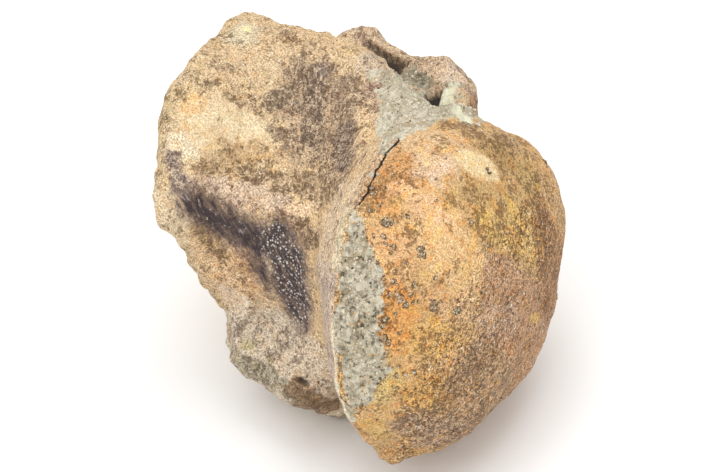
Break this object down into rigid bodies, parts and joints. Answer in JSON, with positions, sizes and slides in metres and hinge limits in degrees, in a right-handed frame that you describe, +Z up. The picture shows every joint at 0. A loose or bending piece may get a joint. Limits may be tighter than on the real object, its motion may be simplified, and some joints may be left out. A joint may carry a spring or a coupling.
{
  "type": "fossil mosasaur vertebra",
  "caption": "Fossil neck vertebra of a mosasaur: ball-ended centrum with broken neural arch stumps, rib joints and patches of sandy matrix, lying on its side.",
  "frame": {"origin": "centre of the bounding box in X and Y, at the level of the shelf that the fossil lies on", "axes": "+X along the centrum towards the ball (the tail end), +Z up from the shelf, +Y away from the left flank"},
  "size_m": [0.0886, 0.0794, 0.0703],
  "materials": {
    "fossil_bone": "matt weathered fossil bone, tan to rust orange, with brown-purple stains and grey-green sandy matrix"
  },
  "bodies": {
    "root": {"vertebra": "fossil_bone"}
  },
  "joints": []
}
